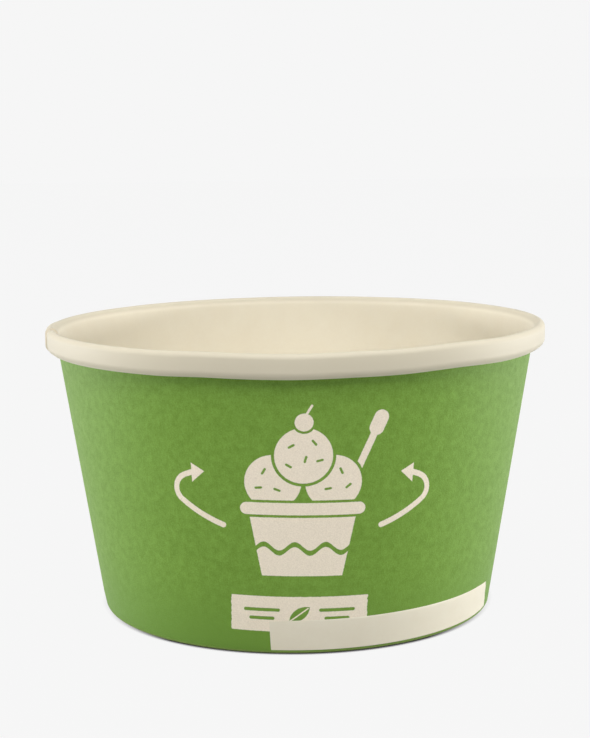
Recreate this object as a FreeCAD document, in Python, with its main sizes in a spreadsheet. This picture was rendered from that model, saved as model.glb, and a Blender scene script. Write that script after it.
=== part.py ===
# Paper dessert cup: one conical board wall with a rolled rim, a lapped side seam and an
# in-turned foot, and a round board floor whose skirt is held in that foot.
# Millimetres, +Z up. The origin is the centre of the foot, on the table.

import FreeCAD, Part
import Sketcher
import math
import os
import re

SIZES = {
    # the cup as a whole
    "cup_height": 51.2,       # table to the crest of the rolled rim
    "base_radius": 35.35,     # printed face of the wall, carried down to the table
    "wall_lean": 8.9,         # degrees that the wall leans out from the vertical
    # the boards
    "board": 0.3,             # thickness of the wall's printed board
    "base_board": 0.3,        # thickness of the floor's board
    # the rolled rim; a core is the radius left inside a bend of two boards
    "rim_depth": 4.15,        # crest to the lowest point of the roll
    "rim_swell": 0.53,        # how far the roll stands out past its own lip
    "rim_slant": 55.0,        # degrees from the vertical of the roll's slanted underside
    "flare_core": 2.4,        # wall to crest
    "crest_core": 0.33,       # top of the roll
    "shoulder_core": 0.6,     # side of the roll to its underside
    "lip_core": 0.05,         # underside of the roll to the tuck behind it
    "lip_clearance": 0.05,    # lip to the outer layer of the side seam
    "tuck_length": 1.2,       # board that runs on up inside the roll
    # the side seam, seen from above and counted counter-clockwise from +X
    "seam_azimuth": 190.0,    # cut edge of the inner layer
    "lap_angle": 10.0,        # width of the lap
    "ramp_angle": 6.0,        # stretch in which the outer layer sinks to the wall's own line
    # the foot and the floor
    "hem_height": 5.0,        # top of the in-turned hem above the table
    "fold_core": 0.07,        # radius left inside the two folds of the foot
    "foot_press": 1.2,        # height to which the foot is pressed to one layer all round
    "floor_height": 6.5,      # top face of the floor above the table
    "floor_bend": 0.4,        # inside radius where the floor turns down into its skirt
    "skirt_clearance": 0.3,   # lower edge of the skirt to the fold of the foot
    "seal_film": 0.02,        # sealing film on each side of the skirt
}

# Lengths that follow from the sizes above, as formulas of the second sheet.
WORKED = {
    "fold_radius": "board + fold_core",
    "foot_width": "2 * board + base_board + 2 * seal_film",
    "flare_radius": "flare_core + board",
    "crest_radius": "crest_core + board",
    "shoulder_radius": "shoulder_core + board",
    "lip_radius": "lip_core + board",
    "lip_height": "cup_height - rim_depth + lip_core + 2 * board",
    "lip_offset": "3 * board + lip_clearance + lip_core",
    "lip_centre": "base_radius + lip_height * tan(wall_lean) + lip_offset / cos(wall_lean)",
    "roll_radius": "lip_centre + lip_radius + rim_swell",
    "crest_height": "cup_height - crest_core - 2 * board",
    "skirt_offset": "board + seal_film",
    "skirt_foot": "board + skirt_clearance",
    "bend_outside": "floor_bend + base_board",
}


def make_sheets(doc):
    """Write the driving sizes, and the lengths that follow from them, to two sheets."""
    sizes = doc.addObject("Spreadsheet::Sheet", "Sizes")
    for row, (name, value) in enumerate(SIZES.items(), start=1):
        sizes.set(f"A{row}", name)
        sizes.set(f"B{row}", str(value))
        sizes.setAlias(f"B{row}", name)
    worked = doc.addObject("Spreadsheet::Sheet", "Worked")
    for row, (name, formula) in enumerate(WORKED.items(), start=1):
        worked.set(f"A{row}", name)
        worked.set(f"B{row}", "=" + spell_out(formula))
        worked.setAlias(f"B{row}", name)
    doc.recompute()
    return sizes, worked


def spell_out(formula):
    """Put the name of its sheet before each size in a formula."""
    def with_sheet(match):
        word = match.group()
        for sheet, words in (("Sizes", SIZES), ("Worked", WORKED)):
            if word in words:
                return f"{sheet}.{word}"
        return word
    return re.sub(r"[a-z_]+", with_sheet, formula)


def bind(thing, prop, formula):
    """Tie one property or constraint of an object to the sheets."""
    thing.setExpression(prop, spell_out(formula))


def along(centre, radius, angle):
    """Point on a circle, at an angle in radians."""
    return (centre[0] + radius * math.cos(angle), centre[1] + radius * math.sin(angle))


class Outline:
    """A sketch in an upright plane through the axis, drawn one piece after another."""

    def __init__(self, sketch):
        self.sketch = sketch
        self.ends = []

    def line(self, start, end):
        """A straight stretch."""
        shape = Part.LineSegment(FreeCAD.Vector(*start, 0), FreeCAD.Vector(*end, 0))
        self.ends.append((1, 2))
        return self.sketch.addGeometry(shape)

    def arc(self, centre, radius, start, end):
        """A round stretch from one angle to another, turning left if the end is larger."""
        circle = Part.Circle(FreeCAD.Vector(*centre, 0), FreeCAD.Vector(0, 0, 1), radius)
        turns_left = end > start
        self.ends.append((1, 2) if turns_left else (2, 1))
        return self.sketch.addGeometry(Part.ArcOfCircle(circle, min(start, end), max(start, end)))

    def join(self, kind, first, second):
        """Tie the end of one stretch to the start of the next."""
        self.rule(kind, first, self.ends[first][1], second, self.ends[second][0])

    def rule(self, *terms):
        """Add a constraint that has no size."""
        return self.sketch.addConstraint(Sketcher.Constraint(*terms))

    def size(self, name, formula, *terms):
        """Add a constraint whose size is a formula of the sheets."""
        number = self.rule(*terms)
        self.sketch.renameConstraint(number, name)
        bind(self.sketch, f"Constraints.{name}", formula)


def wall_outline(doc, sizes, worked, name, azimuth):
    """The printed face of the wall in section, from the top of the hem to the end of the tuck."""
    sketch = doc.addObject("Sketcher::SketchObject", name)
    upright = FreeCAD.Rotation(FreeCAD.Vector(1, 0, 0), 90)
    turned = FreeCAD.Rotation(FreeCAD.Vector(0, 0, 1), azimuth)
    sketch.Placement = FreeCAD.Placement(FreeCAD.Vector(0, 0, 0), turned * upright)
    outline = Outline(sketch)

    lean = math.radians(sizes.wall_lean)
    slant = math.radians(sizes.rim_slant)
    half_turn = math.pi
    rise = math.tan(lean)
    skew = 1 / math.cos(lean)
    facing_in = half_turn - lean

    def beside_wall(height, offset):
        """Point at a height, off the printed face of the wall: outside is plus."""
        return (sizes.base_radius + height * rise + offset * skew, height)

    fold = worked.fold_radius
    inner_fold = beside_wall(fold, fold - worked.foot_width)
    outer_fold = beside_wall(fold, -fold)
    hem_top = beside_wall(sizes.hem_height, -worked.foot_width)

    crest = (worked.roll_radius - worked.crest_radius, worked.crest_height)
    off_wall = (crest[0] - beside_wall(crest[1], 0)[0]) / skew
    span = worked.flare_radius - worked.crest_radius
    turn = math.acos((worked.flare_radius - off_wall) / span)
    crest_start = facing_in - turn
    flare = along(crest, -span, crest_start)

    lip = (worked.lip_centre, worked.lip_height)
    shoulder_out = worked.roll_radius - worked.shoulder_radius
    reach = worked.shoulder_radius - worked.lip_radius
    shoulder_up = (reach + (shoulder_out - lip[0]) * math.cos(slant)) / math.sin(slant)
    shoulder = (shoulder_out, lip[1] + shoulder_up)

    hem_foot = along(inner_fold, fold, facing_in)
    wall_foot = along(outer_fold, fold, -lean)
    wall_top = along(flare, worked.flare_radius, facing_in)
    side_top = along(crest, worked.crest_radius, 0)
    side_foot = along(shoulder, worked.shoulder_radius, 0)
    slant_top = along(shoulder, worked.shoulder_radius, -slant)
    slant_foot = along(lip, worked.lip_radius, -slant)
    tuck_foot = along(lip, worked.lip_radius, -half_turn - lean)
    tuck_top = along(tuck_foot, sizes.tuck_length, half_turn / 2 - lean)

    hem = outline.line(hem_top, hem_foot)
    inner = outline.arc(inner_fold, fold, facing_in, 1.5 * half_turn)
    foot = outline.line((inner_fold[0], 0), (outer_fold[0], 0))
    outer = outline.arc(outer_fold, fold, -half_turn / 2, -lean)
    wall = outline.line(wall_foot, wall_top)
    flared = outline.arc(flare, worked.flare_radius, facing_in, crest_start)
    crested = outline.arc(crest, worked.crest_radius, crest_start, 0)
    side = outline.line(side_top, side_foot)
    shouldered = outline.arc(shoulder, worked.shoulder_radius, 0, -slant)
    slanted = outline.line(slant_top, slant_foot)
    lipped = outline.arc(lip, worked.lip_radius, -slant, -half_turn - lean)
    tuck = outline.line(tuck_foot, tuck_top)
    for stretch in range(hem, tuck):
        outline.join("Tangent", stretch, stretch + 1)

    mark = sketch.addGeometry(Part.Point(FreeCAD.Vector(sizes.base_radius, 0, 0)), True)
    outline.rule("PointOnObject", mark, 1, -1)
    outline.size("base", "base_radius", "DistanceX", -1, 1, mark, 1, sizes.base_radius)
    outline.rule("PointOnObject", mark, 1, wall)
    outline.size("lean", "90 - wall_lean", "Angle", wall, half_turn / 2 - lean)
    outline.rule("Horizontal", foot)
    outline.rule("PointOnObject", foot, 1, -1)
    outline.rule("Parallel", hem, wall)
    outline.size("foot_width", "foot_width", "Distance", hem, 1, wall, worked.foot_width)
    outline.size("hem", "hem_height", "DistanceY", -1, 1, hem, 1, sizes.hem_height)
    outline.size("inner_fold", "fold_radius", "Radius", inner, fold)
    outline.size("outer_fold", "fold_radius", "Radius", outer, fold)
    outline.size("flare", "flare_radius", "Radius", flared, worked.flare_radius)
    outline.size("crest", "crest_radius", "Radius", crested, worked.crest_radius)
    outline.size("shoulder", "shoulder_radius", "Radius", shouldered, worked.shoulder_radius)
    outline.size("lip", "lip_radius", "Radius", lipped, worked.lip_radius)
    outline.size("crest_up", "crest_height", "DistanceY", -1, 1, crested, 3, crest[1])
    outline.rule("Vertical", side)
    outline.size("roll", "roll_radius", "DistanceX", -1, 1, side, 1, worked.roll_radius)
    outline.size("slant", "-90 - rim_slant", "Angle", slanted, -half_turn / 2 - slant)
    outline.size("lip_up", "lip_height", "DistanceY", -1, 1, lipped, 3, lip[1])
    outline.size("lip_out", "lip_centre", "DistanceX", -1, 1, lipped, 3, lip[0])
    outline.rule("Parallel", tuck, wall)
    outline.size("tuck", "tuck_length", "Distance", tuck, sizes.tuck_length)
    return sketch


def make_side_wall(doc, sizes, worked):
    """The wall: one blank, lapped at the side seam, rolled at the rim and hemmed at the foot."""
    lap_outline = wall_outline(doc, sizes, worked, "LapOutline", sizes.seam_azimuth)
    ramp_end = sizes.seam_azimuth + sizes.ramp_angle
    outline = wall_outline(doc, sizes, worked, "WallOutline", ramp_end)

    section = thicken(doc, "WallSection", outline, "-1 * board")
    lap_section = thicken(doc, "LapSection", lap_outline, "board")

    turned = turn(doc, "WallTurned", section, "360 - ramp_angle")
    lap = turn(doc, "OuterLap", lap_section, "-1 * lap_angle")
    ramp = doc.addObject("Part::Loft", "LapRamp")
    ramp.Sections = [lap_section, section]
    ramp.Solid = True
    ramp.Ruled = True

    whole_turn = turn(doc, "FootTurned", section, "360")
    press = doc.addObject("Part::Cylinder", "FootPress")
    bind(press, "Radius", "roll_radius")
    bind(press, "Height", "foot_press")
    foot = doc.addObject("Part::Common", "PressedFoot")
    foot.Base = whole_turn
    foot.Tool = press

    joined = doc.addObject("Part::MultiFuse", "JoinedWall")
    joined.Shapes = [turned, lap, ramp, foot]
    joined.Refine = False
    below = doc.addObject("Part::Cylinder", "BelowTable")
    bind(below, "Radius", "roll_radius")
    bind(below, "Height", "foot_press")
    bind(below, "Placement.Base.z", "-1 * foot_press")
    wall = doc.addObject("Part::Cut", "SideWall")
    wall.Base = joined
    wall.Tool = below
    wall.Label = "side_wall"
    return wall


def thicken(doc, name, outline, board):
    """Give an outline the thickness of the board, to the printed side if it is plus."""
    section = doc.addObject("Part::Offset2D", name)
    section.Source = outline
    section.Mode = "Skin"
    section.Fill = True
    bind(section, "Value", board)
    return section


def turn(doc, name, section, degrees):
    """Turn a section about the axis of the cup."""
    turned = doc.addObject("Part::Revolution", name)
    turned.Source = section
    turned.Axis = FreeCAD.Vector(0, 0, 1)
    turned.Solid = True
    bind(turned, "Angle", degrees)
    return turned


def make_base_disc(doc, sizes, worked):
    """The floor: a flat round of board, turned down all round into a short skirt."""
    body = doc.addObject("PartDesign::Body", "BaseDisc")
    body.Label = "base_disc"
    sketch = body.newObject("Sketcher::SketchObject", "FloorSection")
    upright = [plane for plane in body.Origin.OriginFeatures if plane.Role == "XZ_Plane"]
    sketch.AttachmentSupport = [(upright[0], "")]
    sketch.MapMode = "FlatFace"
    outline = Outline(sketch)

    lean = math.radians(sizes.wall_lean)
    rise = math.tan(lean)
    skew = 1 / math.cos(lean)
    quarter = math.pi / 2
    top = sizes.floor_height
    bend_height = top - worked.bend_outside
    inset = worked.skirt_offset + worked.bend_outside
    bend = (sizes.base_radius + bend_height * rise - inset * skew, bend_height)
    low = worked.skirt_foot
    low_outer = (sizes.base_radius + low * rise - worked.skirt_offset * skew, low)
    low_inner = along(low_outer, -sizes.base_board, -lean)
    underside = top - sizes.base_board

    skirt = outline.line(low_outer, along(bend, worked.bend_outside, -lean))
    outer = outline.arc(bend, worked.bend_outside, -lean, quarter)
    face = outline.line((bend[0], top), (0, top))
    axis = outline.line((0, top), (0, underside))
    back = outline.line((0, underside), (bend[0], underside))
    inner = outline.arc(bend, sizes.floor_bend, quarter, -lean)
    lining = outline.line(along(bend, sizes.floor_bend, -lean), low_inner)
    edge = outline.line(low_inner, low_outer)
    for first, second in ((skirt, outer), (outer, face), (back, inner), (inner, lining)):
        outline.join("Tangent", first, second)
    for first, second in ((face, axis), (axis, back), (lining, edge), (edge, skirt)):
        outline.join("Coincident", first, second)

    mark = sketch.addGeometry(Part.Point(FreeCAD.Vector(sizes.base_radius, 0, 0)), True)
    outline.rule("PointOnObject", mark, 1, -1)
    outline.size("base", "base_radius", "DistanceX", -1, 1, mark, 1, sizes.base_radius)
    outline.size("offset", "skirt_offset", "Distance", mark, 1, skirt, worked.skirt_offset)
    outline.size("lean", "90 - wall_lean", "Angle", skirt, quarter - lean)
    outline.rule("Horizontal", face)
    outline.rule("Horizontal", back)
    outline.rule("PointOnObject", axis, 1, -2)
    outline.rule("Vertical", axis)
    outline.rule("Coincident", outer, 3, inner, 3)
    outline.size("bend", "bend_outside", "Radius", outer, worked.bend_outside)
    outline.size("bend_inside", "floor_bend", "Radius", inner, sizes.floor_bend)
    outline.size("top", "floor_height", "DistanceY", -1, 1, face, 1, top)
    outline.rule("Parallel", lining, skirt)
    outline.rule("Perpendicular", edge, skirt)
    outline.size("low", "skirt_foot", "DistanceY", -1, 1, skirt, 1, low)

    turned = body.newObject("PartDesign::Revolution", "FloorTurned")
    turned.Profile = sketch
    turned.ReferenceAxis = (sketch, ["V_Axis"])
    turned.Angle = 360
    sketch.Visibility = False
    body.Tip = turned
    return body


def check(doc, parts):
    """Stop if any object of the document failed, or a part is not one sound solid."""
    for thing in doc.Objects:
        for word in ("Invalid", "Error"):
            if word in thing.State:
                raise RuntimeError(f"{thing.Label} is {word}")
    for part in parts:
        if part.Shape.isNull() or not part.Shape.isValid():
            raise RuntimeError(f"{part.Label} has no sound shape")
        if len(part.Shape.Solids) != 1:
            raise RuntimeError(f"{part.Label} is not one solid")


def main():
    """Build the cup and write each of its parts."""
    doc = FreeCAD.newDocument("PaperDessertCup")
    sizes, worked = make_sheets(doc)
    parts = [make_side_wall(doc, sizes, worked), make_base_disc(doc, sizes, worked)]
    doc.recompute()
    check(doc, parts)
    os.makedirs("parts", exist_ok=True)
    for part in parts:
        part.Shape.exportStep(f"parts/{part.Label}.step")


main()
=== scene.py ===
# Paper dessert cup, dressed for its picture: one conical board wall with a rolled rim, a
# lapped side seam and an in-turned foot, and a round board floor pressed into that foot.
# Metres, +Z up. The origin is the centre of the foot, on the table.

import math

import bpy
from mathutils import Matrix, Vector


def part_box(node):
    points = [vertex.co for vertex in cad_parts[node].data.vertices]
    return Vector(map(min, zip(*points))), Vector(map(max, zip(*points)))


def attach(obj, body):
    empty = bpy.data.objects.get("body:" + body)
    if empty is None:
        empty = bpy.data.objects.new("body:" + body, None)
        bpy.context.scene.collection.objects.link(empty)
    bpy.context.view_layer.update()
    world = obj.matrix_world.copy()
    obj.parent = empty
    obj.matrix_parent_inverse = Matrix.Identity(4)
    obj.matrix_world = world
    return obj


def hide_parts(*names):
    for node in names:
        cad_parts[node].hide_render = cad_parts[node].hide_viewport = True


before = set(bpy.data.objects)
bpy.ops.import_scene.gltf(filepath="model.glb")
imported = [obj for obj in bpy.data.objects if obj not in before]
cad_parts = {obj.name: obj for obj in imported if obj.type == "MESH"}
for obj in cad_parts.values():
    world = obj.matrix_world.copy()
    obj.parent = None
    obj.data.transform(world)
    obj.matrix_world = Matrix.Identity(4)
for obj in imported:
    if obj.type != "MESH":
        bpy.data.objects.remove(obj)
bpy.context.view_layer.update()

bl_info = {
    "name": "Paper Dessert Cup",
    "version": (1, 0, 0),
    "blender": (4, 5, 0),
    "location": "3D View > Sidebar > Paper Cup",
    "description": "Builds a printed paper dessert cup and the studio round it",
    "category": "Object",
}

MM = 0.001
CUP_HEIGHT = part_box("side_wall")[1][2]
FLOOR_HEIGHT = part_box("base_disc")[1][2]

# Angles seen from above, counter-clockwise from +X. The front of the cup faces -Y.
SEAM_START = 180
LAP = 10
RAMP = 6
FRONT = 270

# Steps in each bend of the foot and of the floor's edge, and in the turn of the floor.
FOLD_STEPS = 6
FLOOR_STEPS = 240

# Edges that turn more than this, in degrees, stay sharp.
SHARP = 40

# Where the roll of the rim begins on the blank, in millimetres up from the table, and over how many
# millimetres the lining fades into the painted shade of the roll.
ROLL_START = 50.5
ROLL_FADE = 0.8

# Radius at which a millimetre along the blank's map is a millimetre of board.
MAP_RADIUS = 40.0

# How the picture sits on the blank: millimetres from the front and up, and its turn in degrees.
PRINT_PLACE = (0.95, 27.7)
PRINT_TURN = -1

# Metres: how far the softboxes stand from the point that they face, how high that point is, the
# size of the table, and the width and height of the softboxes.
SOFTBOX_DISTANCE = 0.8
SOFTBOX_AIM = 0.03
TABLE_SIZE = 6
SIDE_BOX = (0.42, 0.1)
TOP_BOX = (0.8, 0.8)
FRONT_BOX = (0.42, 0.42)

# Where the rolled board gives way a little: azimuth, height, outwards, upwards and reach, in
# degrees and millimetres.
DENTS = (
    (122, 46.4, 0.42, 0, 7), (104, 47.6, -0.16, 0, 6), (140, 47.4, -0.2, 0, 7),
    (84, 46.8, 0.2, 0, 7), (44, 46.4, 0.36, 0, 8), (66, 47.6, -0.16, 0, 7), (26, 47.4, -0.15, 0, 7),
    (306, 47.2, 0, 0.25, 13), (250, 47.2, 0, 0.14, 8), (270, 50.6, 0, -0.14, 10),
)


def linear(code):
    """An sRGB hex colour as the linear values that Blender works in."""
    parts = [int(code[place:place + 2], 16) / 255 for place in (1, 3, 5)]
    return [part / 12.92 if part <= 0.04045 else ((part + 0.055) / 1.055) ** 2.4 for part in parts]


def length(name, description, default):
    """A size of the cup, in metres."""
    return bpy.props.FloatProperty(
        name=name, description=description, default=default, min=0.0, unit="LENGTH", precision=5
    )


def angle(name, description, degrees):
    """An angle of the cup, written here in degrees."""
    return bpy.props.FloatProperty(
        name=name, description=description, default=math.radians(degrees), subtype="ANGLE"
    )


def colour(name, description, code):
    """A colour of the cup, written here as sRGB hex."""
    return bpy.props.FloatVectorProperty(
        name=name, description=description, default=linear(code), min=0.0, max=1.0, subtype="COLOR"
    )


def power(name, description, watts):
    """Power of a light, in watts."""
    return bpy.props.FloatProperty(
        name=name, description=description, default=watts, min=0.0, subtype="POWER", unit="POWER"
    )


class PaperCupSizes(bpy.types.PropertyGroup):
    """Sizes of the board, the wall, the rim, the foot and the floor."""

    cup_height: length("Cup Height", "Table to the crest of the rolled rim", CUP_HEIGHT)
    base_radius: length("Base Radius", "Printed face, carried down to the table", 35.35 * MM)
    wall_lean: angle("Wall Lean", "How far the wall leans out from the vertical", 8.9)
    board: length("Board", "Thickness of the board of the wall and of the floor", 0.3 * MM)
    rim_depth: length("Rim Depth", "Crest to the lowest point of the roll", 4.15 * MM)
    rim_swell: length("Rim Swell", "How far the roll stands out past its own lip", 0.53 * MM)
    rim_slant: angle("Rim Slant", "Slanted underside of the roll, from the vertical", 55)
    flare_core: length("Flare Core", "Radius inside the bend from wall to crest", 2.4 * MM)
    crest_core: length("Crest Core", "Radius inside the top of the roll", 0.33 * MM)
    shoulder_core: length("Shoulder Core", "Radius inside the bend to the underside", 0.6 * MM)
    lip_core: length("Lip Core", "Radius inside the bend behind the underside", 0.05 * MM)
    lip_clearance: length("Lip Clearance", "Lip to the seam's outer layer", 0.05 * MM)
    tuck_length: length("Tuck Length", "Board that runs on up inside the roll", 1.2 * MM)
    hem_height: length("Hem Height", "Top of the in-turned hem above the table", 5.0 * MM)
    fold_core: length("Fold Core", "Radius inside the two folds of the foot", 0.07 * MM)
    foot_press: length("Foot Press", "Height to which the seam is pressed flat", 1.2 * MM)
    floor_height: length("Floor Height", "Top of the floor above the table", FLOOR_HEIGHT)
    floor_bend: length("Floor Bend", "Radius inside the bend from floor to skirt", 0.4 * MM)
    flat_ring: length("Flat Ring", "Width of the flat ring round the floor's edge", 1.5 * MM)
    press_slope: length("Press Slope", "Width of the slope inside the flat ring", 0.7 * MM)
    press_depth: length("Press Depth", "How far the slope sinks", 0.12 * MM)
    floor_sag: length("Floor Sag", "How far the floor's middle sinks below the slope", 0.2 * MM)
    skirt_clearance: length("Skirt Clearance", "Skirt to the fold of the foot", 0.3 * MM)
    rim_tilt: angle("Rim Tilt", "How far the rim rises to the right", 0.22)
    rim_shift: length("Rim Shift", "How far the rim stands off to the right of the foot", 0.16 * MM)
    seal_film: length("Seal Film", "Sealing film on each side of the skirt", 0.02 * MM)


class PaperCupColours(bpy.types.PropertyGroup):
    """Colours of the inks and boards, two of them painted shade: one towards the foot and one on the rim.
    """

    ink: colour("Ink", "Green ink of the wall", "#7ba242")
    ink_deep: colour("Deep Ink", "Green ink where it lies thickest", "#698e32")
    # Painted shade: a darker green mixed in towards the foot, standing in for the shade near the table.
    foot_shade_ink: colour("Foot Ink", "Green ink towards the foot", "#6d9339")
    ink_thin: colour("Thin Ink", "Green ink where it is rubbed or thin", "#9c9a6c")
    print_cream: colour("Print", "Bare board left in the picture, arrows and label", "#fff3e0")
    lining: colour("Lining", "Coated board inside and on the rim", "#e6dfcc")
    lining_deep: colour("Deep Lining", "Thicker fibre seen through the coating", "#e4dcc8")
    # Painted shade: the roll is the same coated board as the lining, drawn darker and greyer to stand in
    # for the shade on it.
    rim_shade_lining: colour("Rolled Lining", "Coating stretched thin over the rim", "#cbc3ae")
    raw_board: colour("Raw Board", "Uncoated board and its cut edges", "#e2d6c2")
    surface: colour("Surface", "Table and backdrop", "#f6f6f6")


class PaperCupStudio(bpy.types.PropertyGroup):
    """The camera and the lights."""

    lens: bpy.props.FloatProperty(
        name="Lens", description="Focal length on a sensor 36 mm high", default=76.38, unit="CAMERA"
    )
    camera_place: bpy.props.FloatVectorProperty(
        name="Camera Place", description="Where the camera stands",
        default=(-0.00055, -0.2837, 0.0839), subtype="TRANSLATION",
    )
    camera_turn: angle("Camera Turn", "Camera to the left, seen from above", -0.066)
    camera_pitch: angle("Camera Pitch", "Camera up from level", -8.342)
    camera_roll: angle("Camera Roll", "Camera rolled clockwise", 0.619)
    right_power: power("Right Light", "Low softbox on the right side", 5.5)
    left_power: power("Left Light", "Low softbox on the left side", 5.1)
    top_power: power("Top Light", "Softbox overhead", 5.3)
    front_power: power("Front Light", "Softbox high over the camera", 4.6)
    room_strength: bpy.props.FloatProperty(
        name="Room Light", description="Strength of the light from all round", default=0.05,
        min=0.0, max=1.0,
    )


def begin_line(name, start):
    """A new mesh of one point, where a line of board begins, left in edit mode."""
    bpy.ops.object.select_all(action="DESELECT")
    bpy.ops.mesh.primitive_plane_add(size=MM)
    piece = bpy.context.object
    piece.name = name
    bpy.ops.object.mode_set(mode="EDIT")
    bpy.ops.mesh.select_all(action="SELECT")
    bpy.ops.mesh.merge(type="CENTER")
    bpy.ops.transform.translate(value=(start[0], 0, start[1]))
    # Leaving and entering edit mode numbers the points in the order in which they are made.
    bpy.ops.object.mode_set(mode="OBJECT")
    bpy.ops.object.mode_set(mode="EDIT")
    bpy.ops.mesh.select_all(action="SELECT")
    return piece


def run(start, end, steps):
    """Carry the line straight on, in equal steps."""
    step = ((end[0] - start[0]) / steps, 0, (end[1] - start[1]) / steps)
    for _ in range(steps):
        bpy.ops.mesh.extrude_region_move(TRANSFORM_OT_translate={"value": step})


def bend(centre, turn, steps):
    """Carry the line on round a centre; a plus turn goes from outwards to upwards."""
    bpy.ops.mesh.spin(steps=steps, angle=turn, center=(centre[0], 0, centre[1]), axis=(0, 1, 0))


def along(centre, radius, direction):
    """Point on a circle of the upright plane."""
    return (centre[0] + radius * math.cos(direction), centre[1] + radius * math.sin(direction))


def distances(piece):
    """How far along the line each of its points lies, in order."""
    places = [point.co.copy() for point in piece.data.vertices]
    lengths = [0.0]
    for before, after in zip(places, places[1:]):
        lengths.append(lengths[-1] + (after - before).length)
    return lengths


def draw_wall_line(sizes):
    """The printed face in section, from the top of the hem round the foot and up to the tuck."""
    lean = sizes.wall_lean
    slant = sizes.rim_slant
    rise = math.tan(lean)
    skew = 1 / math.cos(lean)
    facing_in = math.pi - lean

    def beside_wall(height, offset):
        return (sizes.base_radius + height * rise + offset * skew, height)

    fold = sizes.board + sizes.fold_core
    foot_width = 3 * sizes.board + 2 * sizes.seal_film
    inner_fold = beside_wall(fold, fold - foot_width)
    outer_fold = beside_wall(fold, -fold)

    flare_radius = sizes.flare_core + sizes.board
    crest_radius = sizes.crest_core + sizes.board
    shoulder_radius = sizes.shoulder_core + sizes.board
    lip_radius = sizes.lip_core + sizes.board
    lip_height = sizes.cup_height - sizes.rim_depth + sizes.lip_core + 2 * sizes.board
    lip = beside_wall(lip_height, 3 * sizes.board + sizes.lip_clearance + sizes.lip_core)
    roll_radius = lip[0] + lip_radius + sizes.rim_swell

    crest = (roll_radius - crest_radius, sizes.cup_height - sizes.crest_core - 2 * sizes.board)
    off_wall = (crest[0] - beside_wall(crest[1], 0)[0]) / skew
    span = flare_radius - crest_radius
    turn = math.acos((flare_radius - off_wall) / span)
    flare = along(crest, -span, facing_in - turn)
    shoulder_out = roll_radius - shoulder_radius
    reach = shoulder_radius - lip_radius
    shoulder_up = (reach + (shoulder_out - lip[0]) * math.cos(slant)) / math.sin(slant)
    shoulder = (shoulder_out, lip[1] + shoulder_up)

    hem_top = beside_wall(sizes.hem_height, -foot_width)
    wall_foot = along(outer_fold, fold, -lean)
    wall_top = along(flare, flare_radius, facing_in)
    tuck_foot = along(lip, lip_radius, -math.pi - lean)

    piece = begin_line("side_wall", hem_top)
    run(hem_top, along(inner_fold, fold, facing_in), 4)
    bend(inner_fold, math.pi / 2 + lean, FOLD_STEPS)
    run((inner_fold[0], 0), (outer_fold[0], 0), 1)
    bend(outer_fold, math.pi / 2 - lean, FOLD_STEPS)
    run(wall_foot, wall_top, 22)
    bend(flare, -turn, 7)
    bend(crest, turn - facing_in, 8)
    run(along(crest, crest_radius, 0), along(shoulder, shoulder_radius, 0), 2)
    bend(shoulder, -slant, 6)
    run(along(shoulder, shoulder_radius, -slant), along(lip, lip_radius, -slant), 1)
    bend(lip, slant - math.pi - lean, 8)
    run(tuck_foot, along(tuck_foot, sizes.tuck_length, math.pi / 2 - lean), 2)
    bpy.ops.object.mode_set(mode="OBJECT")
    return piece, distances(piece)


def wrap_round(piece, start, whole, steps):
    """Turn the line about the axis of the cup, counter-clockwise, into a sheet."""
    bpy.ops.object.mode_set(mode="EDIT")
    bpy.ops.mesh.select_all(action="SELECT")
    # With no window, turn and spin both go clockwise for a plus angle.
    bpy.ops.transform.rotate(value=-start, orient_axis="Z", center_override=(0, 0, 0))
    bpy.ops.mesh.spin(steps=steps, angle=-whole, center=(0, 0, 0), axis=(0, 0, 1))
    bpy.ops.mesh.select_all(action="SELECT")
    bpy.ops.mesh.flip_normals()
    bpy.ops.object.mode_set(mode="OBJECT")


def map_blank(piece, heights):
    """Map the sheet as its flat blank, in millimetres from the front and up from the table."""
    layer = piece.data.uv_layers.new(name="blank")
    for corner in piece.data.loops:
        ring, row = divmod(corner.vertex_index, len(heights))
        round_front = math.radians(SEAM_START + ring - FRONT)
        layer.uv[corner.index].vector = (round_front * MAP_RADIUS, heights[row] / MM)


def set_weights(piece, name, rows, weight):
    """A vertex group, weighted by a function of ring, height and row."""
    group = piece.vertex_groups.new(name=name)
    for point in piece.data.vertices:
        amount = weight(point.index // rows, point.co.z)
        if amount > 0:
            group.add([point.index], amount, "REPLACE")


def dent(piece, azimuth, height, outwards, upwards, reach):
    """Press the sheet by hand at one place: it gives way softly, out to the reach."""
    direction = Vector((math.cos(math.radians(azimuth)), math.sin(math.radians(azimuth)), 0))
    level = [point for point in piece.data.vertices if abs(point.co.z - height * MM) < MM]
    along_ray = [(point.co.xy - direction.xy * point.co.xy.length).length for point in level]
    nearest = min(along_ray)
    for point, off in zip(level, along_ray):
        point.select = off < nearest + 0.1 * MM
    bpy.ops.object.mode_set(mode="EDIT")
    bpy.ops.transform.translate(
        value=(direction * outwards + Vector((0, 0, upwards))) * MM, use_proportional_edit=True,
        proportional_edit_falloff="SMOOTH", proportional_size=reach * MM,
    )
    bpy.ops.mesh.select_all(action="DESELECT")
    bpy.ops.object.mode_set(mode="OBJECT")


def apply(piece, kind, **settings):
    """Give a piece a modifier and apply it."""
    modifier = piece.modifiers.new(kind.title(), kind)
    for name, value in settings.items():
        setattr(modifier, name, value)
    bpy.ops.object.modifier_apply(modifier=modifier.name)


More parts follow.
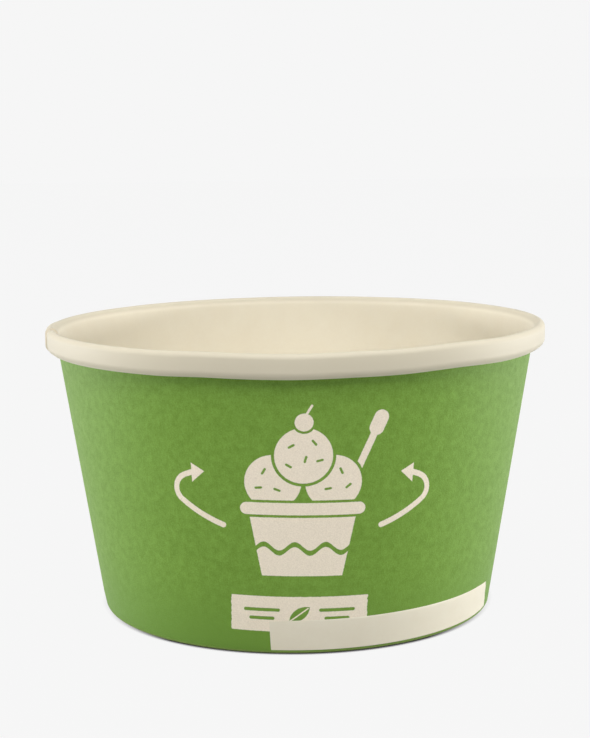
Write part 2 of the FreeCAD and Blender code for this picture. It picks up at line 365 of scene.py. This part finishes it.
def tilt_rim(piece, sizes):
    """Lift and shift the rim a little to the right with a cage that stands on the table."""
    width = 3 * sizes.base_radius
    bpy.ops.object.add(type="LATTICE", location=(0, 0, sizes.cup_height / 2))
    cage = bpy.context.object
    cage.scale = (width, width, sizes.cup_height)
    cage.data.points_u = cage.data.points_v = cage.data.points_w = 2
    for kind in ("u", "v", "w"):
        setattr(cage.data, f"interpolation_type_{kind}", "KEY_LINEAR")
    rise = math.tan(sizes.rim_tilt) * width / 2 / sizes.cup_height
    for point in cage.data.points:
        if point.co.z > 0:
            point.co_deform.z += rise if point.co.x > 0 else -rise
            point.co_deform.x += sizes.rim_shift / width
    bpy.context.view_layer.update()
    bpy.ops.object.select_all(action="DESELECT")
    bpy.context.view_layer.objects.active = piece
    piece.select_set(True)
    apply(piece, "LATTICE", object=cage)
    bpy.data.objects.remove(cage)


def add(material, kind, sockets=None, **settings):
    """Add a node to a material or a world, with its settings, and a value or a link for each socket."""
    made = material.node_tree.nodes.new(kind)
    for name, value in settings.items():
        setattr(made, name, value)
    for socket, value in (sockets or {}).items():
        if isinstance(value, bpy.types.NodeSocket):
            material.node_tree.links.new(value, made.inputs[socket])
        else:
            made.inputs[socket].default_value = value
    return made.outputs


def new_material(name):
    """An empty material with nodes."""
    material = bpy.data.materials.new(name)
    material.use_nodes = True
    material.node_tree.nodes.clear()
    return material


def combine(material, operation, shapes):
    """Join values; for shapes of the print, MINIMUM keeps all of them and MAXIMUM what they share."""
    joined = shapes[0]
    for shape in shapes[1:]:
        joined = add(material, "ShaderNodeMath", {0: joined, 1: shape}, operation=operation)[0]
    return joined


def bar(material, place, centre, half, corner, turn=0.0):
    """A bar with round corners: how far each spot of the print lies outside it, in mm."""
    moved = add(material, "ShaderNodeMapping", {
        "Vector": place, "Location": (*centre, 0), "Rotation": (0, 0, math.radians(turn)),
    }, vector_type="TEXTURE")[0]
    folded = add(material, "ShaderNodeVectorMath", {0: moved}, operation="ABSOLUTE")[0]
    inner = (half[0] - corner, half[1] - corner, 1)
    past = add(material, "ShaderNodeVectorMath", {0: folded, 1: inner}, operation="SUBTRACT")[0]
    outside = add(material, "ShaderNodeVectorMath", {0: past, 1: (0, 0, 0)}, operation="MAXIMUM")[0]
    far = add(material, "ShaderNodeVectorMath", {0: outside}, operation="LENGTH")["Value"]
    return add(material, "ShaderNodeMath", {0: far, 1: corner}, operation="SUBTRACT")[0]


def disc(material, place, centre, radius):
    """A disc of the print, as distance outside it in mm."""
    middle = (*centre, 1)
    far = add(material, "ShaderNodeVectorMath", {0: place, 1: middle}, operation="DISTANCE")["Value"]
    return add(material, "ShaderNodeMath", {0: far, 1: radius}, operation="SUBTRACT")[0]


def side(material, place, start, end):
    """All of the print to the left of a line from start to end, as distance outside it in mm."""
    ahead = (Vector(end) - Vector(start)).normalized()
    # The third number of a place on the print is 1, and takes the line's own distance along.
    line = (ahead.y, -ahead.x, ahead.x * start[1] - ahead.y * start[0])
    return add(material, "ShaderNodeVectorMath", {0: place, 1: line}, operation="DOT_PRODUCT")["Value"]


def ring(material, place, centre, radius, half):
    """A round line of the print, twice half wide, as distance outside it in mm."""
    off = disc(material, place, centre, radius)
    far = add(material, "ShaderNodeMath", {0: off}, operation="ABSOLUTE")[0]
    return add(material, "ShaderNodeMath", {0: far, 1: half}, operation="SUBTRACT")[0]


def apart(material, shape, gap):
    """All of the print further than a gap from a shape."""
    return add(material, "ShaderNodeMath", {0: gap, 1: shape}, operation="SUBTRACT")[0]


def draw_dessert(material, art, mirrored):
    """The picture: a tub with three scoops, sprinkles, a cherry and a spoon, left bare."""
    slanted = side(material, mirrored, (6.56, -13.8), (8.6, -3.6))
    level = bar(material, art, (0, -8.7), (30, 5.1), 1)

    # A wavy line, 9 mm below the middle of the picture, parts the tub in two.
    reading = add(material, "ShaderNodeSeparateXYZ", {0: art})
    swing = add(material, "ShaderNodeMath", {0: reading["X"], 1: 1.25}, operation="MULTIPLY")[0]
    swing = add(material, "ShaderNodeMath", {0: swing}, operation="SINE")[0]
    swing = add(material, "ShaderNodeMath", {0: swing, 1: 0.75, 2: 9.0}, operation="MULTIPLY_ADD")[0]
    wave = add(material, "ShaderNodeMath", {0: reading["Y"], 1: swing}, operation="ADD")[0]
    wave = add(material, "ShaderNodeMath", {0: wave}, operation="ABSOLUTE")[0]
    tub = combine(material, "MAXIMUM", [slanted, level, apart(material, wave, 0.45)])
    rim = bar(material, art, (0, -2.1), (10.2, 1.05), 1.05)

    upper = disc(material, art, (0, 7.0), 4.7)
    lower = disc(material, mirrored, (4.9, 2.5), 4.6)
    above_rim = side(material, art, (-10, -0.6), (10, -0.6))
    between = apart(material, bar(material, art, (0, 2), (0.25, 5), 0.25), 0)
    lower = combine(material, "MAXIMUM", [lower, above_rim, between, apart(material, upper, 0.5)])
    cherry = disc(material, art, (0, 12.6), 1.5)
    upper = combine(material, "MAXIMUM", [upper, apart(material, cherry, 0.4)])
    scoops = combine(material, "MINIMUM", [upper, lower])
    sprinkles = (
        ((-2.0, 8.6), 30), ((1.7, 9.2), -50), ((0.3, 6.4), 75), ((-2.4, 5.3), -30), ((2.6, 6.2), 15),
        ((-6.4, 4.3), 60), ((-4.2, 1.2), -20), ((-7.2, 1.5), 5),
        ((6.1, 4.4), -65), ((7.3, 1.8), 40), ((4.0, 1.4), 10),
    )
    cut = [bar(material, art, centre, (0.62, 0.2), 0.2, turn) for centre, turn in sprinkles]
    cut = combine(material, "MINIMUM", cut)
    scoops = combine(material, "MAXIMUM", [scoops, apart(material, cut, 0)])

    handle = bar(material, art, (10.3, 8.0), (5.6, 0.6), 0.6, 66)
    paddle = bar(material, art, (12.2, 12.3), (2.2, 1.25), 1.25, 66)
    spoon = combine(material, "MINIMUM", [handle, paddle])
    spoon = combine(material, "MAXIMUM", [spoon, apart(material, scoops, 0.5), above_rim])
    stalk = bar(material, art, (0.75, 14.6), (1.1, 0.2), 0.2, 60)
    return combine(material, "MINIMUM", [tub, rim, scoops, spoon, cherry, stalk])


def draw_arrow(material, mirrored):
    """One of the two arrows that curve round the picture; the other is its mirror image."""
    half = 0.48
    # The tight curve runs on into the long one where their centres and the joint are in line.
    tight_centre = (18.95, 0.55)
    long_centre = (3.64, 21.84)
    joint = (20.48, -1.405)
    end = (13.03, -5.28)

    tight = ring(material, mirrored, tight_centre, 2.48, half)
    above_joint = side(material, mirrored, tight_centre, joint)
    below_neck = side(material, mirrored, (19.7, 5), (19.7, 0))
    turned = combine(material, "MAXIMUM", [tight, above_joint, below_neck])
    neck = bar(material, mirrored, (19.05, 3.2), (1.1, half), half, -20)
    long_curve = ring(material, mirrored, long_centre, 28.70, half)
    below_joint = side(material, mirrored, joint, long_centre)
    before_end = side(material, mirrored, long_centre, end)
    swept = combine(material, "MAXIMUM", [long_curve, below_joint, before_end])
    tail = disc(material, mirrored, end, half)
    corners = ((18.49, 1.7), (18.69, 4.99), (16.31, 3.73))
    head = combine(material, "MAXIMUM", [
        side(material, mirrored, corners[place - 1], corners[place]) for place in range(3)
    ])
    return combine(material, "MINIMUM", [turned, neck, swept, tail, head])


def draw_label(material, art, torn):
    """The bare label under the picture, with a leaf between two pairs of lines."""
    centre = (-0.35, -20.65)
    ragged = add(material, "ShaderNodeVectorMath", {0: art, 1: torn}, operation="ADD")[0]
    label = bar(material, ragged, centre, (11.35, 3.15), 0.15)
    leaf_place = add(material, "ShaderNodeMapping", {
        "Vector": art, "Location": (*centre, 0), "Rotation": (0, 0, math.radians(38)),
    }, vector_type="TEXTURE")[0]
    leaf = combine(material, "MAXIMUM", [
        disc(material, leaf_place, (0, -1.75), 2.75), disc(material, leaf_place, (0, 1.75), 2.75),
    ])
    rib = bar(material, leaf_place, (-0.75, 0), (2.6, 0.11), 0.1)
    leaf = combine(material, "MAXIMUM", [leaf, apart(material, rib, 0)])
    marks = [leaf]
    for across in (-6.2, 6.2):
        for up, half in ((0.75, 3.0), (-0.75, 2.1)):
            place = (centre[0] + across, centre[1] + up)
            marks.append(bar(material, art, place, (half, 0.3), 0.3))
    return combine(material, "MAXIMUM", [label, apart(material, combine(material, "MINIMUM", marks), 0)])


def printed_board(sizes, colours):
    """Matt offset ink on uncoated cup board: even green, cloudy where the fibre takes it unevenly."""
    material = new_material("Offset ink on cup board")
    blank = add(material, "ShaderNodeUVMap", uv_map="blank")[0]
    solid = add(material, "ShaderNodeTexCoord")["Object"]

    # The blank is a fan, so a millimetre across it is worked out again for each height.
    reading = add(material, "ShaderNodeSeparateXYZ", {0: blank})
    widen = add(material, "ShaderNodeMath", {
        0: reading["Y"], 1: math.sin(sizes.wall_lean) / MAP_RADIUS,
        2: sizes.base_radius / MM / MAP_RADIUS,
    }, operation="MULTIPLY_ADD")[0]
    across = add(material, "ShaderNodeMath", {0: reading["X"], 1: widen}, operation="MULTIPLY")[0]
    flat = add(material, "ShaderNodeCombineXYZ", {"X": across, "Y": reading["Y"]})[0]
    art = add(material, "ShaderNodeMapping", {
        "Vector": flat, "Location": (*PRINT_PLACE, -1), "Rotation": (0, 0, math.radians(PRINT_TURN)),
    }, vector_type="TEXTURE")[0]
    art_parts = add(material, "ShaderNodeSeparateXYZ", {0: art})
    folded = add(material, "ShaderNodeMath", {0: art_parts["X"]}, operation="ABSOLUTE")[0]
    mirrored = add(material, "ShaderNodeCombineXYZ", {
        "X": folded, "Y": art_parts["Y"], "Z": art_parts["Z"],
    })[0]

    # Fibre under the ink breaks the edges of the print by a few hundredths of a millimetre.
    fray = add(material, "ShaderNodeTexNoise", {"Vector": flat, "Scale": 3.0, "Detail": 3.0})["Fac"]
    torn = add(material, "ShaderNodeTexNoise", {"Vector": flat, "Scale": 1.6, "Detail": 4.0})["Color"]
    torn = add(material, "ShaderNodeVectorMath", {0: torn, 1: (0.5, 0.5, 0.5)}, operation="SUBTRACT")[0]
    torn = add(material, "ShaderNodeVectorMath", {0: torn, 1: (0.5, 0.08, 0)}, operation="MULTIPLY")[0]
    shapes = combine(material, "MINIMUM", [
        draw_dessert(material, art, mirrored),
        draw_arrow(material, mirrored),
        draw_label(material, art, torn),
    ])
    frayed = add(material, "ShaderNodeMath", {0: fray, 1: 0.12, 2: shapes}, operation="MULTIPLY_ADD")[0]
    bare = add(material, "ShaderNodeMapRange", {
        "Value": frayed, "From Min": 0.11, "From Max": 0.01,
    }, interpolation_type="SMOOTHSTEP")[0]

    # Cloudy patches of 1 mm, fibre of 0.3 mm and faint streaks up the wall from the press.
    patches = add(material, "ShaderNodeTexNoise", {"Vector": solid, "Scale": 800.0, "Detail": 2.0})["Fac"]
    fibre = add(material, "ShaderNodeTexNoise", {"Vector": solid, "Scale": 4800.0, "Detail": 1.0})["Fac"]
    stretched = add(material, "ShaderNodeMapping", {
        "Vector": blank, "Scale": (3.0, 0.9, 1),
    }, vector_type="POINT")[0]
    streaks = add(material, "ShaderNodeTexNoise", {"Vector": stretched, "Scale": 1.0, "Detail": 2.0})["Fac"]
    cloud = add(material, "ShaderNodeMath", {0: patches, 1: 0.4}, operation="MULTIPLY")[0]
    cloud = add(material, "ShaderNodeMath", {0: streaks, 1: 0.25, 2: cloud}, operation="MULTIPLY_ADD")[0]
    cloud = add(material, "ShaderNodeMath", {0: fibre, 1: 0.5, 2: cloud}, operation="MULTIPLY_ADD")[0]
    thick = add(material, "ShaderNodeMapRange", {"Value": cloud, "From Min": 0.43, "From Max": 0.72})[0]
    inked = add(material, "ShaderNodeMix", {
        0: thick, 6: (*colours.ink_deep, 1), 7: (*colours.ink, 1),
    }, data_type="RGBA")[2]

    # The ink is painted darker towards the foot as painted shade near the table, is rubbed where the board
    # is folded under, and ends a little way up the hem.
    low = add(material, "ShaderNodeMapRange", {
        "Value": reading["Y"], "From Min": 15.0, "From Max": 0.0,
    }, interpolation_type="SMOOTHSTEP")[0]
    inked = add(material, "ShaderNodeMix", {
        0: low, 6: inked, 7: (*colours.foot_shade_ink, 1),
    }, data_type="RGBA")[2]
    rubbed = add(material, "ShaderNodeMapRange", {
        "Value": reading["Y"], "From Min": 0.55, "From Max": 0.0,
    })[0]
    rubbed = add(material, "ShaderNodeMath", {0: rubbed, 1: fibre}, operation="MULTIPLY")[0]
    inked = add(material, "ShaderNodeMix", {
        0: rubbed, 6: inked, 7: (*colours.ink_thin, 1),
    }, data_type="RGBA")[2]
    past_ink = add(material, "ShaderNodeMapRange", {
        "Value": reading["Y"], "From Min": -3.4, "From Max": -3.5,
    })[0]
    bare = add(material, "ShaderNodeMath", {0: bare, 1: past_ink}, operation="MAXIMUM")[0]

    paper = add(material, "ShaderNodeMix", {
        0: fibre, 6: (*colours.raw_board, 1), 7: (*colours.print_cream, 1),
    }, data_type="RGBA")[2]
    seen = add(material, "ShaderNodeMix", {0: bare, 6: inked, 7: paper}, data_type="RGBA")[2]
    height = add(material, "ShaderNodeMath", {0: patches, 1: 0.6, 2: fibre}, operation="MULTIPLY_ADD")[0]
    relief = add(material, "ShaderNodeBump", {"Height": height, "Strength": 0.8, "Distance": 0.00004})[0]
    gloss = add(material, "ShaderNodeMapRange", {"Value": thick, "To Min": 0.62, "To Max": 0.5})[0]
    shader = add(material, "ShaderNodeBsdfPrincipled", {
        "Base Color": seen, "Roughness": gloss, "IOR": 1.48, "Specular IOR Level": 0.22, "Normal": relief,
    })["BSDF"]
    add(material, "ShaderNodeOutputMaterial", {"Surface": shader})
    return material


def lining_board(colours):
    """Board with a thin coat of polyethylene: cream, satin, with soft fibre clouds showing through, painted
    darker over the roll of the rim as painted shade.
    """
    material = new_material("Polyethylene coated board")
    solid = add(material, "ShaderNodeTexCoord")["Object"]
    clouds = add(material, "ShaderNodeTexNoise", {
        "Vector": solid, "Scale": 260.0, "Detail": 4.0, "Roughness": 0.6,
    })["Fac"]
    fibre = add(material, "ShaderNodeTexNoise", {"Vector": solid, "Scale": 2000.0, "Detail": 2.0})["Fac"]
    mixed = add(material, "ShaderNodeMath", {0: fibre, 1: 0.4, 2: clouds}, operation="MULTIPLY_ADD")[0]
    thick = add(material, "ShaderNodeMapRange", {"Value": mixed, "From Min": 0.5, "From Max": 0.9})[0]
    seen = add(material, "ShaderNodeMix", {
        0: thick, 6: (*colours.lining_deep, 1), 7: (*colours.lining, 1),
    }, data_type="RGBA")[2]
    blank = add(material, "ShaderNodeUVMap", uv_map="blank")[0]
    reading = add(material, "ShaderNodeSeparateXYZ", {0: blank})
    # Above the start of the roll the lining gives way to a darker tone: painted shade on the rim.
    rolled = add(material, "ShaderNodeMapRange", {
        "Value": reading["Y"], "From Min": ROLL_START, "From Max": ROLL_START + ROLL_FADE,
    }, interpolation_type="SMOOTHSTEP")[0]
    seen = add(material, "ShaderNodeMix", {
        0: rolled, 6: seen, 7: (*colours.rim_shade_lining, 1),
    }, data_type="RGBA")[2]
    relief = add(material, "ShaderNodeBump", {"Height": mixed, "Strength": 0.2, "Distance": 0.00002})[0]
    shader = add(material, "ShaderNodeBsdfPrincipled", {
        "Base Color": seen, "Roughness": 0.6, "IOR": 1.5, "Specular IOR Level": 0.3,
        "Sheen Weight": 0.16, "Sheen Roughness": 0.4, "Normal": relief,
    })["BSDF"]
    add(material, "ShaderNodeOutputMaterial", {"Surface": shader})
    return material


def raw_board(colours):
    """Bare cup board, as on its cut edges: off-white, dull, with short fibres along the edge."""
    material = new_material("Uncoated cup board")
    solid = add(material, "ShaderNodeTexCoord")["Object"]
    fibre = add(material, "ShaderNodeTexNoise", {"Vector": solid, "Scale": 2200.0, "Detail": 3.0})["Fac"]
    seen = add(material, "ShaderNodeMix", {
        0: fibre, 6: (*colours.lining_deep, 1), 7: (*colours.raw_board, 1),
    }, data_type="RGBA")[2]
    relief = add(material, "ShaderNodeBump", {"Height": fibre, "Strength": 0.6, "Distance": 0.00003})[0]
    shader = add(material, "ShaderNodeBsdfPrincipled", {
        "Base Color": seen, "Roughness": 0.85, "IOR": 1.5, "Normal": relief,
    })["BSDF"]
    add(material, "ShaderNodeOutputMaterial", {"Surface": shader})
    return material


def table_surface(colours):
    """Seamless studio paper: the camera sees its plain colour, a painted contact shadow next to the foot,
    and a faint real shadow of the cup.
    """
    material = new_material("Seamless studio paper")
    paper = add(material, "ShaderNodeBsdfDiffuse", {"Color": (0.55, 0.55, 0.55, 1)})["BSDF"]
    # Painted contact shadow: next to the foot, where the wall leans over the table, the glow is darkened by
    # how closed in the table is, and less so towards the sides.
    open_sky = add(material, "ShaderNodeAmbientOcclusion", {"Distance": 1.0 * MM}, samples=12)["AO"]
    table_place = add(material, "ShaderNodeTexCoord")["Object"]
    reading = add(material, "ShaderNodeSeparateXYZ", {0: table_place})
    across = add(material, "ShaderNodeMath", {0: reading["X"]}, operation="ABSOLUTE")[0]
    painted_shadow_lift = add(material, "ShaderNodeMapRange", {
        "Value": across, "From Min": 22 * MM, "From Max": 34 * MM, "To Min": 0.03, "To Max": 0.9,
    })[0]
    # The painted shadow sets the strength of the glow that the camera sees.
    shade = add(material, "ShaderNodeMapRange", {
        "Value": open_sky, "From Min": 0.45, "From Max": 0.93, "To Min": painted_shadow_lift, "To Max": 1.005,
    })[0]
    glow = add(material, "ShaderNodeEmission", {
        "Color": (*colours.surface, 1), "Strength": shade,
    })["Emission"]
    rays = add(material, "ShaderNodeLightPath")
    seen = combine(material, "MAXIMUM", [
        rays["Is Camera Ray"], rays["Is Glossy Ray"], rays["Is Transmission Ray"],
    ])
    share = add(material, "ShaderNodeMath", {0: seen, 1: 0.99}, operation="MULTIPLY")[0]
    both = add(material, "ShaderNodeMixShader", {0: share, 1: paper, 2: glow})[0]
    add(material, "ShaderNodeOutputMaterial", {"Surface": both})
    return material


class PAPERCUP_OT_side_wall(bpy.types.Operator):
    """Build the printed wall with its rolled rim, side seam and foot"""

    bl_idname = "paper_cup.side_wall"
    bl_label = "Side Wall"

    def execute(self, context):
        sizes = context.scene.paper_cup_sizes
        colours = context.scene.paper_cup_colours
        piece, lengths = draw_wall_line(sizes)
        rows = len(lengths)
        rings = 360 + LAP
        heights = [point.co.z for point in piece.data.vertices]
        foot_row = heights.index(min(heights)) + 1 + FOLD_STEPS
        foot_height = heights[foot_row] / math.cos(sizes.wall_lean)
        wrap_round(piece, math.radians(SEAM_START), math.radians(rings), rings)
        map_blank(piece, [step - lengths[foot_row] + foot_height for step in lengths])

        def lapped(ring):
            return min(1, max(0, (LAP + RAMP - ring) / RAMP))

        def pressed(height):
            return min(1, max(0, 1 - height / sizes.foot_press))

        def front(ring, height):
            return lapped(ring) * (1 - pressed(height)) / 2

        def back(ring, height):
            return lapped(rings - ring) * (1 + pressed(height)) / 2

        # The heated seam is pressed: each layer gives way by half a board, and at the foot the
        # back one by a whole board. The small extra keeps the layers from touching.
        give = 1.05 * sizes.board
        set_weights(piece, "front layer", rows, front)
        set_weights(piece, "back layer", rows, back)
        apply(piece, "DISPLACE", vertex_group="front layer", strength=give, mid_level=0)
        apply(piece, "DISPLACE", vertex_group="back layer", strength=-give, mid_level=0)
        tilt_rim(piece, sizes)
        # Known fault: all of the sheet is still selected here, so the first dent also moves the whole
        # wall by its 0.42 mm, and the skirt of the floor comes out through the front of the wall.
        for place in DENTS:
            dent(piece, *place)
        for material in (printed_board(sizes, colours), lining_board(colours), raw_board(colours)):
            piece.data.materials.append(material)
        apply(
            piece, "SOLIDIFY", thickness=sizes.board, offset=-1, use_even_offset=True,
            material_offset=1, material_offset_rim=2,
        )
        bpy.ops.object.shade_smooth_by_angle(angle=math.radians(SHARP))
        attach(piece, "root")
        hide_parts("side_wall")
        return {"FINISHED"}


class PAPERCUP_OT_base_disc(bpy.types.Operator):
    """Build the floor and its skirt"""

    bl_idname = "paper_cup.base_disc"
    bl_label = "Floor"

    def execute(self, context):
        sizes = context.scene.paper_cup_sizes
        colours = context.scene.paper_cup_colours
        lean = sizes.wall_lean
        rise = math.tan(lean)
        skew = 1 / math.cos(lean)
        outside = sizes.floor_bend + sizes.board
        offset = sizes.board + sizes.seal_film
        top = sizes.floor_height
        low = sizes.board + sizes.skirt_clearance
        bend_height = top - outside
        centre = (sizes.base_radius + bend_height * rise - (offset + outside) * skew, bend_height)
        start = (sizes.base_radius + low * rise - offset * skew, low)
        edge = centre[0]
        piece = begin_line("base_disc", start)
        run(start, along(centre, outside, -lean), 3)
        bend(centre, math.pi / 2 + lean, FOLD_STEPS)

        # Over the floor: a flat ring, a short slope, and a middle that sinks as a shallow bowl.
        slope_start = edge - sizes.flat_ring
        bowl = slope_start - sizes.press_slope
        low_edge = top - sizes.press_depth
        places = [(edge, top), (slope_start, top), (bowl, low_edge)]
        for part in (0.8, 0.6, 0.4, 0.2, 0.0):
            places.append((part * bowl, low_edge - sizes.floor_sag * (1 - part ** 2)))
        for before, after in zip(places, places[1:]):
            run(before, after, 1)
        bpy.ops.object.mode_set(mode="OBJECT")
        wrap_round(piece, 0, math.tau, FLOOR_STEPS)
        bpy.ops.object.mode_set(mode="EDIT")
        bpy.ops.mesh.select_all(action="SELECT")
        bpy.ops.mesh.remove_doubles(threshold=0.01 * MM)
        bpy.ops.mesh.normals_make_consistent(inside=False)
        bpy.ops.object.mode_set(mode="OBJECT")
        for material in (lining_board(colours), raw_board(colours)):
            piece.data.materials.append(material)
        apply(
            piece, "SOLIDIFY", thickness=sizes.board, offset=-1, use_even_offset=True,
            material_offset=1, material_offset_rim=1,
        )
        bpy.ops.object.shade_smooth_by_angle(angle=math.radians(SHARP))
        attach(piece, "root")
        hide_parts("base_disc")
        return {"FINISHED"}


def softbox(name, turn, up, size, watts):
    """A soft light that faces the cup: degrees to the right of the camera, and up."""
    turn = math.radians(turn)
    up = math.radians(up)
    aim = Vector((0, 0, SOFTBOX_AIM))
    away = Vector((math.cos(up) * math.sin(turn), -math.cos(up) * math.cos(turn), math.sin(up)))
    bpy.ops.object.light_add(
        type="AREA", location=aim + SOFTBOX_DISTANCE * away,
        rotation=away.to_track_quat("Z", "Y").to_euler(),
    )
    light = bpy.context.object
    light.name = name
    light.data.shape = "RECTANGLE"
    light.data.size, light.data.size_y = size
    light.data.energy = watts


class PAPERCUP_OT_studio(bpy.types.Operator):
    """Set the camera, the lights, the table and the backdrop"""

    bl_idname = "paper_cup.studio"
    bl_label = "Studio"

    def execute(self, context):
        scene = context.scene
        studio = scene.paper_cup_studio
        colours = scene.paper_cup_colours

        bpy.ops.object.camera_add(location=studio.camera_place)
        camera = context.object
        turn = (
            Matrix.Rotation(studio.camera_turn, 3, "Z")
            @ Matrix.Rotation(studio.camera_pitch, 3, "X")
            @ Matrix.Rotation(studio.camera_roll, 3, "Y")
            @ Matrix.Rotation(math.radians(90), 3, "X")
        )
        camera.rotation_euler = turn.to_euler()
        camera.data.sensor_fit = "VERTICAL"
        camera.data.sensor_height = 36
        camera.data.lens = studio.lens
        scene.camera = camera

        bpy.ops.mesh.primitive_plane_add(size=TABLE_SIZE)
        table = context.object
        table.name = "table"
        table.data.materials.append(table_surface(colours))

        softbox("Right softbox", 105, 2.2, SIDE_BOX, studio.right_power)
        softbox("Left softbox", -105, 2.2, SIDE_BOX, studio.left_power)
        softbox("Top softbox", 0, 90, TOP_BOX, studio.top_power)
        softbox("Front softbox", 0, 47, FRONT_BOX, studio.front_power)

        world = bpy.data.worlds.new("Studio")
        world.use_nodes = True
        scene.world = world
        world.node_tree.nodes.clear()
        lit = add(world, "ShaderNodeBackground", {
            "Color": (1, 1, 1, 1), "Strength": studio.room_strength,
        })["Background"]
        shown = add(world, "ShaderNodeBackground", {"Color": (*colours.surface, 1)})["Background"]
        rays = add(world, "ShaderNodeLightPath")
        both = add(world, "ShaderNodeMixShader", {0: rays["Is Camera Ray"], 1: lit, 2: shown})[0]
        add(world, "ShaderNodeOutputWorld", {"Surface": both})

        scene.view_settings.view_transform = "Standard"
        return {"FINISHED"}


class PAPERCUP_PT_sidebar(bpy.types.Panel):
    """Lists the steps that build the cup"""

    bl_idname = "PAPERCUP_PT_sidebar"
    bl_label = "Paper Cup"
    bl_space_type = "VIEW_3D"
    bl_region_type = "UI"
    bl_category = "Paper Cup"

    def draw(self, context):
        for step in STEPS:
            self.layout.operator(step.bl_idname)
        for group in ("paper_cup_sizes", "paper_cup_colours", "paper_cup_studio"):
            settings = getattr(context.scene, group)
            column = self.layout.column()
            for name in settings.bl_rna.properties.keys():
                if name not in ("rna_type", "name"):
                    column.prop(settings, name)


STEPS = (PAPERCUP_OT_side_wall, PAPERCUP_OT_base_disc, PAPERCUP_OT_studio)
SETTINGS = {
    "paper_cup_sizes": PaperCupSizes,
    "paper_cup_colours": PaperCupColours,
    "paper_cup_studio": PaperCupStudio,
}


def register():
    for kind in (*SETTINGS.values(), *STEPS, PAPERCUP_PT_sidebar):
        bpy.utils.register_class(kind)
    for name, kind in SETTINGS.items():
        setattr(bpy.types.Scene, name, bpy.props.PointerProperty(type=kind))


def unregister():
    for name in SETTINGS:
        delattr(bpy.types.Scene, name)
    for kind in (PAPERCUP_PT_sidebar, *reversed(STEPS), *SETTINGS.values()):
        bpy.utils.unregister_class(kind)


def main():
    """Build the cup and its studio."""
    register()
    bpy.ops.paper_cup.side_wall()
    bpy.ops.paper_cup.base_disc()
    bpy.ops.paper_cup.studio()


if __name__ == "__main__":
    main()
